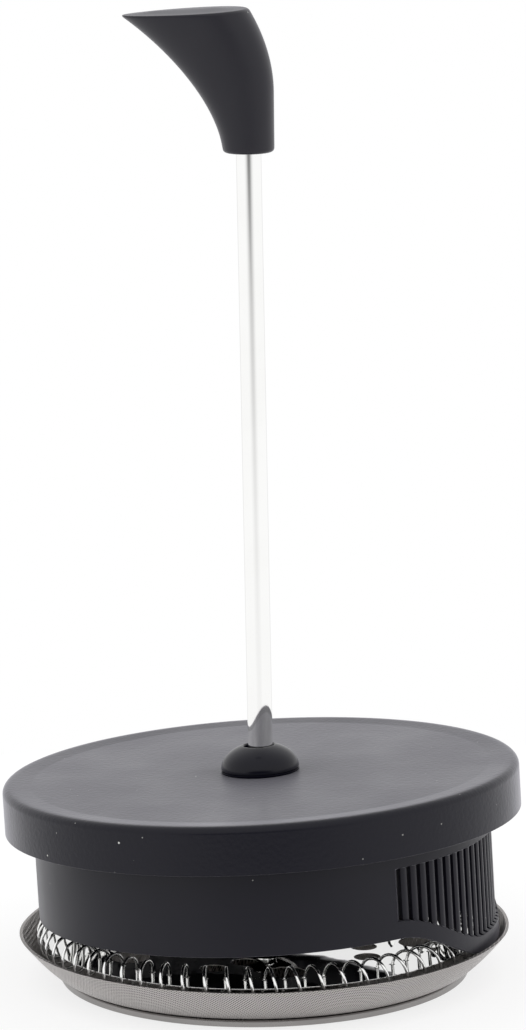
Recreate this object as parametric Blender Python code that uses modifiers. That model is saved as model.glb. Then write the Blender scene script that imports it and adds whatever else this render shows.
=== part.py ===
"""Plunger and lid of a one-litre french press.

The plunger stands on the rim of its cross plate, at the origin, with its rod
along +Z.  The lid rides on the rod.  It hangs a little tilted, because the
foot of its strainer lies on the filter's edge spring.  The knob's hook points
along -X, and the strainer faces +X and a little towards -Y.

All sizes are in millimetres here, and MM turns them into metres.
"""

import math

import bmesh
import bpy
from mathutils import Matrix, Vector

MM = 0.001

# Driving dimensions
LID_DIAMETER = 104.0
FILTER_DIAMETER = 99.2
ROD_DIAMETER = 5.0
KNOB_BASE_DIAMETER = 10.2
KNOB_BOTTOM_Z = 166.4
KNOB_HEIGHT = 28.35
CLEARANCE = 0.3

# Cross plate: a pressed disc with a raised middle, standing on its turned rim
CROSS_RADIUS = 41.3
CROSS_SHEET = 0.7
CROSS_RIM_HEIGHT = 1.4
BOSS_TOP_RADIUS = 13.0
BOSS_FOOT_RADIUS = 17.5
BOSS_TOP_Z = 7.0
BOSS_WALL_SHIFT = 0.4
CROSS_EDGE_ROUND = 0.4
CROSS_HOLE_RADIUS = 5.0
CROSS_HOLE_RING = 29.0
CROSS_HOLE_COUNT = 10

# Mesh screen: lies on the cross plate and flares out to the filter's edge
MESH_SHEET = 0.35
MESH_EDGE_Z = 9.4
MESH_FLARE_POWER = 0.75
MESH_FLARE_STEPS = 4
MESH_WALL = 0.42

# Edge spring: a coil wound in and out of the spiral plate's ring of holes
COIL_TURNS = 62
COIL_POINTS_PER_TURN = 8
COIL_RING_RADIUS = 42.1
COIL_LOOP_RADIUS = 3.58
COIL_WIRE_RADIUS = 0.31
COIL_Z = 8.5

# Spiral plate
PLATE_RADIUS = 44.8
PLATE_THICKNESS = 0.6
PLATE_SIDES = 62
WIRE_HOLE_RADIUS = 0.95
LARGE_HOLES = {"ring": 33.5, "radius": 4.0, "azimuth": 67.0}
INNER_HOLES = {"ring": 25.5, "radius": 2.6, "azimuth": 51.0}
OUTER_HOLES = {"ring": 31.0, "radius": 2.6, "azimuth": 41.0}
HOLE_PATTERN_REPEATS = 6

# Rod, its two threaded ends and what is clamped between them
ROD_RADIUS = ROD_DIAMETER / 2
STUD_RADIUS = 1.9
THREAD_BORE_RADIUS = STUD_RADIUS + CLEARANCE
ROD_END_CHAMFER = 0.3
WASHER_RADIUS = 6.0
WASHER_THICKNESS = 1.0
NUT_FLANGE_RADIUS = 7.0
NUT_FLANGE_THICKNESS = 1.0
NUT_ACROSS_FLATS = 8.0
NUT_BOTTOM_Z = 1.6
STUD_BOTTOM_Z = 2.0

# Knob: a round foot that sweeps out into a hooked, flat-topped lever
KNOB_HOOK_REACH = 24.6
KNOB_HOOK_POWER = 1.68
KNOB_BACK_BULGE_T = 0.42
KNOB_BACK_BULGE = 5.2
KNOB_BACK_TOP = 0.5
KNOB_TOP_WIDTH = 15.2
KNOB_WIDTH_POWER = 1.2
KNOB_TOP_SLOPE = math.radians(2.2)
KNOB_TIP_SHARPNESS = 0.22
KNOB_SECTIONS = 11
KNOB_SIDES = 24
KNOB_CROWN = ((0.985, 0.25), (0.93, 0.42), (0.5, 0.64))
KNOB_FOOT_ROUND = 0.8
KNOB_SHARP_ANGLE = math.radians(40.0)
INSERT_RADIUS = 3.6
INSERT_LENGTH = 12.0
KNOB_COUNTERBORE_DEPTH = 1.5

# Lid, in its own upright frame; heights are above the base
LID_TILT_RIGHT = math.radians(2.27)
LID_TILT_FRONT = math.radians(1.69)
LID_PIVOT_Z = 39.0
LID_RADIUS = LID_DIAMETER / 2
LID_TOP_Z = 41.6
LID_RIM_BOTTOM_Z = 32.05
LID_RIM_WALL = 1.6
LID_EDGE_ROUND = 1.45
LID_DISC_RADIUS = 46.8
LID_DISC_DROP = 0.5
LID_DISC_STEP = 0.8
LID_UNDERSIDE_Z = 39.0
SEAT_DROP = 0.3
SEAT_INNER_RADIUS = 46.6

# Strainer skirt, a cup upside down under the cover
SKIRT_RADIUS = 46.25
SKIRT_WALL = 1.2
SKIRT_BAND_RADIUS = 43.4
SKIRT_BAND_Z = 16.0
SKIRT_TOP_Z = LID_UNDERSIDE_Z - 0.4
SKIRT_PLATE_THICKNESS = 1.7
SKIRT_BOTTOM_Z = 14.5
SKIRT_BOTTOM_ROUND = 0.3
SKIRT_EDGE_BAND = 1.0
STRAINER_AZIMUTH = 77.5
STRAINER_SLOTS = 28
STRAINER_PITCH = 3.16
STRAINER_SLOT_WIDTH = 1.0
STRAINER_CUT_DEPTH = 8.0
STRAINER_SLOT_TOP_Z = 28.5
STRAINER_LEDGE = 3.4
FOOT_DROP = 8.6
FOOT_HALF_SPAN = 27.0
FOOT_RAMP = 17.0

# Guide: the dome on the lid, with the sleeve that holds the lid together
GUIDE_BORE_RADIUS = 2.975
DOME_RADIUS = 7.85
DOME_HEIGHT = 5.0
DOME_STEPS = 6
DOME_FLANGE = 0.6
DOME_LIP_WIDTH = 0.35
SLEEVE_RADIUS = 5.6
SLEEVE_BOTTOM_Z = 31.5
TUBE_BORE_RADIUS = 4.6
TUBE_BOTTOM_Z = 10.8
SLEEVE_HOLE_RADIUS = SLEEVE_RADIUS + 0.4
BUSH_POCKET_RADIUS = 4.3
BUSH_POCKET_TOP_Z = 37.2
BUSH_LIP_RADIUS = 3.9
BUSH_LIP_TOP_Z = 32.4
CLIP_RADIUS = 9.5
CLIP_THICKNESS = 1.2

# Bush: runs on the rod, captive in the sleeve, and the lid turns round it
BUSH_BORE_RADIUS = ROD_RADIUS + 0.08
BUSH_BODY_RADIUS = 3.4
BUSH_SHOULDER_RADIUS = 4.0
BUSH_SHOULDER_Z = 34.6
BUSH_BOTTOM_Z = 32.0
BUSH_TOP_Z = 36.8

# Colour, roughness and metallic value of each material
FINISHES = {
    "soft_black": ((0.035, 0.035, 0.038), 0.55, 0.0),
    "lid_black": ((0.05, 0.05, 0.053), 0.6, 0.0),
    "guide_black": ((0.015, 0.015, 0.016), 0.4, 0.0),
    "natural_acetal": ((0.75, 0.74, 0.7), 0.45, 0.0),
    "polished_steel": ((0.8, 0.8, 0.8), 0.08, 1.0),
    "satin_steel": ((0.6, 0.59, 0.57), 0.3, 1.0),
    "woven_steel": ((0.5, 0.48, 0.46), 0.45, 1.0),
    "brass": ((0.78, 0.57, 0.24), 0.35, 1.0),
}


def clear_scene():
    for old in list(bpy.data.objects):
        bpy.data.objects.remove(old, do_unlink=True)


def new_collection(name):
    collection = bpy.data.collections.new(name)
    bpy.context.scene.collection.children.link(collection)
    return collection


def make_material(name):
    colour, roughness, metallic = FINISHES[name]
    material = bpy.data.materials.new(name)
    material.use_nodes = True
    shader = material.node_tree.nodes["Principled BSDF"]
    shader.inputs["Base Color"].default_value = (*colour, 1.0)
    shader.inputs["Roughness"].default_value = roughness
    shader.inputs["Metallic"].default_value = metallic
    return material


def add_object(name, data, finish=None, parent=None):
    """Link a part, or a cutter when it has no finish."""
    part = bpy.data.objects.new(name, data)
    if finish:
        parts.objects.link(part)
        part.data.materials.append(materials[finish])
    else:
        cutters.objects.link(part)
        part.hide_render = True
        part.display_type = "WIRE"
    if parent:
        part.parent = parent
    return part


def fillet(corners, steps=3):
    """Round the corners (r, z, radius) of a closed outline; returns (r, z) points."""
    outline = []
    for index, (r, z, radius) in enumerate(corners):
        if not radius:
            outline.append((r, z))
            continue
        corner = Vector((r, z))
        back = (Vector(corners[index - 1][:2]) - corner).normalized()
        ahead = (Vector(corners[(index + 1) % len(corners)][:2]) - corner).normalized()
        half = back.angle(ahead) / 2
        centre = corner + (back + ahead).normalized() * radius / math.sin(half)
        start = corner + back * radius / math.tan(half) - centre
        end = corner + ahead * radius / math.tan(half) - centre
        for step in range(steps + 1):
            outline.append(tuple(centre + radius * start.slerp(end, step / steps).normalized()))
    return outline


def turned(name, outline, segments, finish=None, parent=None):
    """Turn an outline round Z.  It runs down its outer side, and up its inner side to close.

    A solid that reaches the axis has an outline that starts and ends there.
    """
    origin_z = LID_PIVOT_Z if parent else 0.0
    mesh = bpy.data.meshes.new(name)
    points = [(r * MM, 0.0, (z - origin_z) * MM) for r, z in outline]
    edges = [(i, i + 1) for i in range(len(points) - 1)]
    if points[0][0] > 0:
        edges.append((len(points) - 1, 0))
    mesh.from_pydata(points, edges, [])
    part = add_object(name, mesh, finish, parent)
    screw = part.modifiers.new("Turn", "SCREW")
    screw.axis = "Z"
    screw.steps = segments
    screw.render_steps = segments
    screw.use_merge_vertices = True
    screw.merge_threshold = 0.00001
    screw.use_smooth_shade = True
    return part


def evaluated_mesh(source):
    """The mesh of an object with its modifiers applied."""
    graph = bpy.context.evaluated_depsgraph_get()
    return bpy.data.meshes.new_from_object(source.evaluated_get(graph))


def bake(part):
    """Replace an object's modifiers by the mesh they make."""
    bpy.context.view_layer.update()
    mesh = evaluated_mesh(part)
    part.modifiers.clear()
    part.data = mesh
    return part


def bmesh_data(name, bm):
    """Write a bmesh out as a mesh and free it."""
    mesh = bpy.data.meshes.new(name)
    bm.to_mesh(mesh)
    bm.free()
    return mesh


def cut(part, cutter):
    boolean = part.modifiers.new("Cut", "BOOLEAN")
    boolean.operation = "DIFFERENCE"
    boolean.solver = "EXACT"
    boolean.object = cutter


def join(part, other):
    boolean = part.modifiers.new("Join", "BOOLEAN")
    boolean.operation = "UNION"
    boolean.solver = "EXACT"
    boolean.object = other


def ring_points(radius, count, azimuth=0.0):
    """Points round Z; azimuth is measured from -Y towards +X."""
    for index in range(count):
        angle = math.radians(azimuth) + 2 * math.pi * index / count
        yield radius * math.sin(angle), -radius * math.cos(angle)


def smoothstep(value):
    value = min(max(value, 0.0), 1.0)
    return value * value * (3 - 2 * value)


def mesh_flare_radius(z, inner_z):
    """Radius of the screen's outer side at a height on its flare."""
    share = (z - inner_z) / (MESH_EDGE_Z - inner_z)
    return CROSS_RADIUS + (FILTER_DIAMETER / 2 - CROSS_RADIUS) * share ** MESH_FLARE_POWER


def foot_drop(azimuth):
    """How far the skirt's lower edge dips under the strainer, at an azimuth in degrees."""
    away = abs((azimuth - STRAINER_AZIMUTH + 180) % 360 - 180)
    ramp_start = FOOT_HALF_SPAN + FOOT_RAMP
    return FOOT_DROP * smoothstep((ramp_start - away) / (2 * FOOT_RAMP))


# Filter

def make_cross_plate():
    top = CROSS_RIM_HEIGHT
    sheet = CROSS_SHEET
    outline = fillet([
        (CROSS_RADIUS, top, CROSS_EDGE_ROUND),
        (CROSS_RADIUS, 0.0, 0),
        (CROSS_RADIUS - sheet, 0.0, 0),
        (CROSS_RADIUS - sheet, top - sheet, 0),
        (BOSS_FOOT_RADIUS, top - sheet, 0),
        (BOSS_TOP_RADIUS, BOSS_TOP_Z - sheet, 0),
        (THREAD_BORE_RADIUS, BOSS_TOP_Z - sheet, 0),
        (THREAD_BORE_RADIUS, BOSS_TOP_Z, 0),
        (BOSS_TOP_RADIUS + BOSS_WALL_SHIFT, BOSS_TOP_Z, 0),
        (BOSS_FOOT_RADIUS + BOSS_WALL_SHIFT, top, 0),
    ])
    plate = turned("cross_plate", outline, 48, "satin_steel")
    bm = bmesh.new()
    for x, y in ring_points(CROSS_HOLE_RING, CROSS_HOLE_COUNT):
        bmesh.ops.create_cone(
            bm, cap_ends=True, segments=10, radius1=CROSS_HOLE_RADIUS * MM, radius2=CROSS_HOLE_RADIUS * MM,
            depth=4 * sheet * MM, matrix=Matrix.Translation((x * MM, y * MM, (top - sheet / 2) * MM)))
    cut(plate, add_object("cross_plate_holes", bmesh_data("cross_plate_holes", bm)))


def make_hub_nut():
    flange_top = BOSS_TOP_Z - CROSS_SHEET - CLEARANCE
    flange = turned("hub_nut", [
        (NUT_FLANGE_RADIUS, flange_top),
        (NUT_FLANGE_RADIUS, flange_top - NUT_FLANGE_THICKNESS),
        (THREAD_BORE_RADIUS, flange_top - NUT_FLANGE_THICKNESS),
        (THREAD_BORE_RADIUS, flange_top),
    ], 24, "satin_steel")
    corner_radius = NUT_ACROSS_FLATS / 2 / math.cos(math.pi / 6)
    height = flange_top - NUT_FLANGE_THICKNESS / 2 - NUT_BOTTOM_Z
    bm = bmesh.new()
    bmesh.ops.create_cone(
        bm, cap_ends=True, segments=6, radius1=corner_radius * MM, radius2=corner_radius * MM,
        depth=height * MM, matrix=Matrix.Translation((0, 0, (NUT_BOTTOM_Z + height / 2) * MM)))
    hexagon = add_object("hub_nut_hexagon", bmesh_data("hub_nut_hexagon", bm))
    bore = turned("hub_nut_bore", [
        (0.0, BOSS_TOP_Z), (THREAD_BORE_RADIUS, BOSS_TOP_Z), (THREAD_BORE_RADIUS, -1.0), (0.0, -1.0)], 20)
    cut(hexagon, bore)
    join(flange, hexagon)


def make_mesh_screen():
    floor = CROSS_RIM_HEIGHT + CLEARANCE
    sheet = MESH_SHEET
    outer = []
    inner = []
    for step in range(MESH_FLARE_STEPS + 1):
        z = MESH_EDGE_Z - (MESH_EDGE_Z - floor) * step / MESH_FLARE_STEPS
        r = mesh_flare_radius(z, floor)
        outer.append((r, z))
        inner.append((r - MESH_WALL, z + (sheet if step else 0.0)))
    inner[-1] = (CROSS_RADIUS - sheet, floor + sheet)
    boss = BOSS_TOP_Z + CLEARANCE
    foot_radius = BOSS_FOOT_RADIUS + BOSS_WALL_SHIFT + CLEARANCE
    top_radius = BOSS_TOP_RADIUS + BOSS_WALL_SHIFT + CLEARANCE
    middle_under = [(foot_radius, floor), (top_radius, boss), (THREAD_BORE_RADIUS, boss)]
    middle_over = [
        (THREAD_BORE_RADIUS, boss + sheet), (top_radius + sheet / 2, boss + sheet),
        (foot_radius + sheet / 2, floor + sheet)]
    turned("mesh_screen", outer + middle_under + middle_over + inner[::-1], 60, "woven_steel")


def make_spiral_plate():
    """A flat disc whose outline and holes are the closed splines of one 2D curve."""
    curve = bpy.data.curves.new("spiral_plate", "CURVE")
    curve.dimensions = "2D"
    curve.fill_mode = "BOTH"
    curve.extrude = PLATE_THICKNESS / 2 * MM

    def circle(x, y, radius, sides):
        spline = curve.splines.new("POLY")
        spline.points.add(sides - 1)
        spline.use_cyclic_u = True
        for point, (dx, dy) in zip(spline.points, ring_points(radius, sides)):
            point.co = ((x + dx) * MM, (y + dy) * MM, 0.0, 1.0)

    circle(0.0, 0.0, PLATE_RADIUS, PLATE_SIDES)
    circle(0.0, 0.0, THREAD_BORE_RADIUS, 16)
    for x, y in ring_points(COIL_RING_RADIUS - COIL_LOOP_RADIUS, COIL_TURNS):
        circle(x, y, WIRE_HOLE_RADIUS, 4)
    for holes in (LARGE_HOLES, INNER_HOLES, OUTER_HOLES):
        for x, y in ring_points(holes["ring"], HOLE_PATTERN_REPEATS, holes["azimuth"]):
            circle(x, y, holes["radius"], 8)
    outline = add_object("spiral_plate_outline", curve)
    outline.location.z = COIL_Z * MM
    bpy.context.view_layer.update()
    bm = bmesh.new()
    bm.from_mesh(evaluated_mesh(outline))
    bmesh.ops.remove_doubles(bm, verts=bm.verts, dist=0.001 * MM)
    plate = add_object("spiral_plate", bmesh_data("spiral_plate", bm), "polished_steel")
    plate.matrix_world = outline.matrix_world
    bpy.data.objects.remove(outline)


def make_edge_spring():
    """A closed ring of coil; each turn starts at its inner crossing of the plate."""
    curve = bpy.data.curves.new("edge_spring", "CURVE")
    curve.dimensions = "3D"
    curve.bevel_depth = COIL_WIRE_RADIUS * MM
    curve.bevel_resolution = 0
    spline = curve.splines.new("POLY")
    count = COIL_TURNS * COIL_POINTS_PER_TURN
    spline.points.add(count - 1)
    spline.use_cyclic_u = True
    for index, point in enumerate(spline.points):
        loop = 2 * math.pi * index / COIL_POINTS_PER_TURN
        around = 2 * math.pi * index / count
        radius = COIL_RING_RADIUS - COIL_LOOP_RADIUS * math.cos(loop)
        z = COIL_Z + COIL_LOOP_RADIUS * math.sin(loop)
        point.co = (radius * math.sin(around) * MM, -radius * math.cos(around) * MM, z * MM, 1.0)
    add_object("edge_spring", curve, "polished_steel")


def make_clamp_washer(bottom_z):
    turned("clamp_washer", fillet([
        (WASHER_RADIUS, bottom_z + WASHER_THICKNESS, 0.3),
        (WASHER_RADIUS, bottom_z, 0),
        (THREAD_BORE_RADIUS, bottom_z, 0),
        (THREAD_BORE_RADIUS, bottom_z + WASHER_THICKNESS, 0),
    ], 2), 24, "polished_steel")


# Rod and knob

def make_rod(shoulder_z):
    top = KNOB_BOTTOM_Z + KNOB_COUNTERBORE_DEPTH
    chamfer = ROD_END_CHAMFER
    stud_top = top + INSERT_LENGTH - 1.0
    turned("plunger_rod", [
        (0.0, stud_top),
        (STUD_RADIUS - chamfer, stud_top),
        (STUD_RADIUS, stud_top - chamfer),
        (STUD_RADIUS, top),
        (ROD_RADIUS - chamfer, top),
        (ROD_RADIUS, top - chamfer),
        (ROD_RADIUS, shoulder_z + chamfer),
        (ROD_RADIUS - chamfer, shoulder_z),
        (STUD_RADIUS, shoulder_z),
        (STUD_RADIUS, STUD_BOTTOM_Z + chamfer),
        (STUD_RADIUS - chamfer, STUD_BOTTOM_Z),
        (0.0, STUD_BOTTOM_Z),
    ], 28, "polished_steel")


def knob_section(t):
    """Back and hook reach, width and tilt of the knob at a share t of its height."""
    base = KNOB_BASE_DIAMETER / 2
    if t < KNOB_BACK_BULGE_T:
        back = base + (KNOB_BACK_BULGE - base) * t / KNOB_BACK_BULGE_T
    else:
        share = (t - KNOB_BACK_BULGE_T) / (1 - KNOB_BACK_BULGE_T)
        back = KNOB_BACK_BULGE - (KNOB_BACK_BULGE - KNOB_BACK_TOP) * share ** 2
    hook = -base - (KNOB_HOOK_REACH - base) * t ** KNOB_HOOK_POWER
    width = KNOB_BASE_DIAMETER + (KNOB_TOP_WIDTH - KNOB_BASE_DIAMETER) * t ** KNOB_WIDTH_POWER
    return back, hook, width, math.tan(KNOB_TOP_SLOPE) * t ** 3


def knob_ring(bm, t, scale=1.0, lift=0.0):
    """One closed ring of the knob's skin, scaled about its own middle."""
    back, hook, width, slope = knob_section(t)
    middle = (back + hook) / 2
    half = (back - hook) / 2
    z = KNOB_BOTTOM_Z + KNOB_HEIGHT * t + lift
    ring = []
    for side in range(KNOB_SIDES):
        angle = 2 * math.pi * side / KNOB_SIDES
        taper = 1 + KNOB_TIP_SHARPNESS * t * math.cos(angle)
        x = middle + half * scale * math.cos(angle)
        y = width / 2 * scale * math.sin(angle) * taper
        ring.append(bm.verts.new((x * MM, y * MM, (z + slope * (x - KNOB_BACK_TOP)) * MM)))
    return ring


def make_knob():
    """The skin is a loft through sections that change from a circle to an egg shape."""
    bm = bmesh.new()
    start = KNOB_FOOT_ROUND / KNOB_HEIGHT
    rings = []
    for share in (0.0, math.pi / 4):
        inset = KNOB_FOOT_ROUND * (1 - math.sin(share))
        lift = KNOB_FOOT_ROUND * (1 - math.cos(share))
        rings.append(knob_ring(bm, 0.0, 1 - inset / (KNOB_BASE_DIAMETER / 2), lift))
    for section in range(KNOB_SECTIONS):
        rings.append(knob_ring(bm, start + (1 - start) * section / (KNOB_SECTIONS - 1)))
    for scale, lift in KNOB_CROWN:
        rings.append(knob_ring(bm, 1.0, scale, lift))
    bm.faces.new(rings[0][::-1])
    for lower, upper in zip(rings, rings[1:]):
        for side in range(KNOB_SIDES):
            after = (side + 1) % KNOB_SIDES
            bm.faces.new((lower[side], lower[after], upper[after], upper[side]))
    bm.faces.new(rings[-1])
    mesh = bmesh_data("knob", bm)
    mesh.shade_smooth()
    mesh.set_sharp_from_angle(angle=KNOB_SHARP_ANGLE)
    knob = add_object("knob", mesh, "soft_black")
    mouth = ROD_RADIUS + CLEARANCE
    seat = KNOB_BOTTOM_Z + KNOB_COUNTERBORE_DEPTH
    pocket = INSERT_RADIUS + CLEARANCE
    pocket_top = seat + INSERT_LENGTH + 2 * CLEARANCE
    cut(knob, turned("knob_pocket", [
        (0.0, pocket_top), (pocket, pocket_top), (pocket, seat), (mouth, seat),
        (mouth, KNOB_BOTTOM_Z - 1.0), (0.0, KNOB_BOTTOM_Z - 1.0)], 20))


def make_knob_insert():
    bottom = KNOB_BOTTOM_Z + KNOB_COUNTERBORE_DEPTH + CLEARANCE
    turned("knob_insert", [
        (INSERT_RADIUS, bottom + INSERT_LENGTH),
        (INSERT_RADIUS, bottom),
        (THREAD_BORE_RADIUS, bottom),
        (THREAD_BORE_RADIUS, bottom + INSERT_LENGTH),
    ], 24, "brass")


# Lid

def make_lid_frame():
    """The lid's pieces hang from this empty, on the rod's axis, which tilts them."""
    frame = bpy.data.objects.new("lid_frame", None)
    parts.objects.link(frame)
    frame.location.z = LID_PIVOT_Z * MM
    frame.rotation_euler = (-LID_TILT_FRONT, -LID_TILT_RIGHT, 0.0)
    return frame


def make_lid_cover(frame):
    """The beaker's edge meets a low flat ring inside the rim, round the skirt."""
    disc_z = LID_TOP_Z - LID_DISC_DROP
    seat_z = LID_UNDERSIDE_Z - SEAT_DROP
    rim_inside = LID_RADIUS - LID_RIM_WALL
    turned("lid_cover", fillet([
        (SLEEVE_HOLE_RADIUS, disc_z, 0),
        (LID_DISC_RADIUS, disc_z, 0),
        (LID_DISC_RADIUS + LID_DISC_STEP, LID_TOP_Z, 0),
        (LID_RADIUS, LID_TOP_Z, LID_EDGE_ROUND),
        (LID_RADIUS, LID_RIM_BOTTOM_Z, 0),
        (rim_inside, LID_RIM_BOTTOM_Z, 0),
        (rim_inside, seat_z, 0),
        (SEAT_INNER_RADIUS, seat_z, 0),
        (SEAT_INNER_RADIUS, LID_UNDERSIDE_Z, 0),
        (SLEEVE_HOLE_RADIUS, LID_UNDERSIDE_Z, 0),
    ]), 64, "lid_black", frame)


def make_strainer_skirt(frame):
    """A turned cup whose lower edge is drawn down into the foot, then slotted.

    Its wall is thicker above the edge spring, which makes the strainer's ribs deep.
    """
    plate_under = SKIRT_TOP_Z - SKIRT_PLATE_THICKNESS
    inside = SKIRT_RADIUS - SKIRT_WALL
    skirt = turned("strainer_skirt", fillet([
        (SKIRT_RADIUS, SKIRT_TOP_Z, 0),
        (SKIRT_RADIUS, SKIRT_BOTTOM_Z, SKIRT_BOTTOM_ROUND),
        (inside, SKIRT_BOTTOM_Z, SKIRT_BOTTOM_ROUND),
        (inside, SKIRT_BAND_Z, 0),
        (SKIRT_BAND_RADIUS, SKIRT_BAND_Z, 0),
        (SKIRT_BAND_RADIUS, plate_under, 0),
        (SLEEVE_HOLE_RADIUS, plate_under, 0),
        (SLEEVE_HOLE_RADIUS, SKIRT_TOP_Z, 0),
    ], 1), 72, "lid_black", frame)
    bake(skirt)
    edge_z = (SKIRT_BOTTOM_Z + SKIRT_EDGE_BAND - LID_PIVOT_Z) * MM
    for vertex in skirt.data.vertices:
        if vertex.co.z < edge_z:
            azimuth = math.degrees(math.atan2(vertex.co.x, -vertex.co.y))
            vertex.co.z -= foot_drop(azimuth) * MM
    bm = bmesh.new()
    first = STRAINER_AZIMUTH - STRAINER_PITCH * (STRAINER_SLOTS - 1) / 2
    for slot in range(STRAINER_SLOTS):
        azimuth = first + STRAINER_PITCH * slot
        bottom = SKIRT_BOTTOM_Z - foot_drop(azimuth) + STRAINER_LEDGE
        height = STRAINER_SLOT_TOP_Z - bottom
        turn = Matrix.Rotation(math.radians(azimuth), 4, "Z")
        place = Matrix.Translation((0.0, -SKIRT_RADIUS * MM, (bottom + height / 2 - LID_PIVOT_Z) * MM))
        size = Matrix.Diagonal((STRAINER_SLOT_WIDTH * MM, STRAINER_CUT_DEPTH * MM, height * MM, 1.0))
        bmesh.ops.create_cube(bm, size=1.0, matrix=turn @ place @ size)
    cut(skirt, add_object("strainer_slots", bmesh_data("strainer_slots", bm), parent=frame))


def make_rod_guide(frame):
    disc_z = LID_TOP_Z - LID_DISC_DROP + CLEARANCE
    dome_z = disc_z + DOME_FLANGE
    lip = GUIDE_BORE_RADIUS + DOME_LIP_WIDTH
    sweep = math.acos(lip / DOME_RADIUS)
    dome = []
    for step in range(DOME_STEPS + 1):
        angle = sweep * (1 - step / DOME_STEPS)
        dome.append((DOME_RADIUS * math.cos(angle), dome_z + DOME_HEIGHT * math.sin(angle)))
    turned("rod_guide", dome + [
        (DOME_RADIUS, disc_z),
        (SLEEVE_RADIUS, disc_z),
        (SLEEVE_RADIUS, TUBE_BOTTOM_Z),
        (TUBE_BORE_RADIUS, TUBE_BOTTOM_Z),
        (TUBE_BORE_RADIUS, SLEEVE_BOTTOM_Z),
        (BUSH_LIP_RADIUS, SLEEVE_BOTTOM_Z),
        (BUSH_LIP_RADIUS, BUSH_LIP_TOP_Z),
        (BUSH_POCKET_RADIUS, BUSH_LIP_TOP_Z),
        (BUSH_POCKET_RADIUS, BUSH_POCKET_TOP_Z),
        (GUIDE_BORE_RADIUS, BUSH_POCKET_TOP_Z),
        (GUIDE_BORE_RADIUS, dome[0][1] - DOME_LIP_WIDTH),
    ], 28, "guide_black", frame)


def make_guide_clip(frame):
    top = SKIRT_TOP_Z - SKIRT_PLATE_THICKNESS - CLEARANCE
    inside = SLEEVE_RADIUS + CLEARANCE
    turned("guide_clip", [
        (CLIP_RADIUS, top), (CLIP_RADIUS, top - CLIP_THICKNESS),
        (inside, top - CLIP_THICKNESS), (inside, top)], 32, "satin_steel", frame)


def make_guide_bush():
    turned("guide_bush", [
        (BUSH_SHOULDER_RADIUS, BUSH_TOP_Z),
        (BUSH_SHOULDER_RADIUS, BUSH_SHOULDER_Z),
        (BUSH_BODY_RADIUS, BUSH_SHOULDER_Z),
        (BUSH_BODY_RADIUS, BUSH_BOTTOM_Z),
        (BUSH_BORE_RADIUS, BUSH_BOTTOM_Z),
        (BUSH_BORE_RADIUS, BUSH_TOP_Z),
    ], 32, "natural_acetal")


clear_scene()
parts = new_collection("french_press_plunger")
cutters = new_collection("cutters")
materials = {name: make_material(name) for name in FINISHES}

make_cross_plate()
make_hub_nut()
make_mesh_screen()
make_spiral_plate()
make_edge_spring()
washer_z = COIL_Z + PLATE_THICKNESS / 2 + CLEARANCE
make_clamp_washer(washer_z)
make_rod(washer_z + WASHER_THICKNESS + CLEARANCE)
make_knob()
make_knob_insert()

lid_frame = make_lid_frame()
make_lid_cover(lid_frame)
make_strainer_skirt(lid_frame)
make_rod_guide(lid_frame)
make_guide_clip(lid_frame)
make_guide_bush()
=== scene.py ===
"""Looks of the french press plunger and lid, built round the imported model."""

import math

import bmesh
import bpy
from mathutils import Euler, Matrix, Vector


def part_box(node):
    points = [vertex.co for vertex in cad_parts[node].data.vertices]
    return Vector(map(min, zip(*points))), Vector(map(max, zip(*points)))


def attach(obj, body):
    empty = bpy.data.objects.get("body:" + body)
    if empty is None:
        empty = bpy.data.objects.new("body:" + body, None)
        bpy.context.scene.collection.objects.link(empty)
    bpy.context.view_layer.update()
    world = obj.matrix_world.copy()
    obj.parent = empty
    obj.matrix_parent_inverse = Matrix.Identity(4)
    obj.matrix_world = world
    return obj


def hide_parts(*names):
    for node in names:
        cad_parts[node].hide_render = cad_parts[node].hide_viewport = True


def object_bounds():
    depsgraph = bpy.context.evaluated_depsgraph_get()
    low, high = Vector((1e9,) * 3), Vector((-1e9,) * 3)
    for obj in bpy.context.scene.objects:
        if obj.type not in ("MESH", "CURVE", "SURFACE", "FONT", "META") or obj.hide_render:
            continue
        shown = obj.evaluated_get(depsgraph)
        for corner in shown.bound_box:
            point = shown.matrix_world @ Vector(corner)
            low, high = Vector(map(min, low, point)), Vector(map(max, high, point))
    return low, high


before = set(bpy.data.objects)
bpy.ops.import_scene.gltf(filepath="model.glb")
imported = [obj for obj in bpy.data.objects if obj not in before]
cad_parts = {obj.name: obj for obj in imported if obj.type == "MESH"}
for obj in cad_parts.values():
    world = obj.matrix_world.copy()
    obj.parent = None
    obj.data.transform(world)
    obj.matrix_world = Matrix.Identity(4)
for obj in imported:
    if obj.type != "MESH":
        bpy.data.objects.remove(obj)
cad_box = [list(corner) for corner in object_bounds()]

MM = 0.001

# Camera, solved for the photograph's viewing angle
VIEW_TARGET = (1.435, 0.0, 93.69)
VIEW_DISTANCE = 1040.0
VIEW_PITCH = math.radians(10.97)
VIEW_ROLL = math.radians(-1.12)
VIEW_LENS = 182.5

# The room is white all round and a little greyer behind.  Each pair is a share of the
# way from behind to front, and a level.
ROOM_FRONT = (0.0, -0.995, -0.1)
ROOM_LEVELS = ((0.0, 0.84), (0.1, 0.88), (0.16, 1.0), (1.0, 1.0))

# The photographer's dark camera and arms, a wide low shape in front of the object.
# Each pair is an angle from its middle in degrees, and a level.
STAND_MIDDLE = (0.0, -0.998, 0.065)
STAND_NARROWING = 0.28
STAND_LEVELS = ((11.7, 0.08), (12.5, 0.74), (16.0, 0.93), (20.0, 1.0))

# Floor, in metres
FLOOR_RADIUS = 0.2
FLOOR_DROP = 0.0002

# How much more blue than red the black plastics send back
BLACK_BLUE = 0.0055

# Sizes from here on are in millimetres and are the CAD model's, unless a note says
# otherwise.

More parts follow.
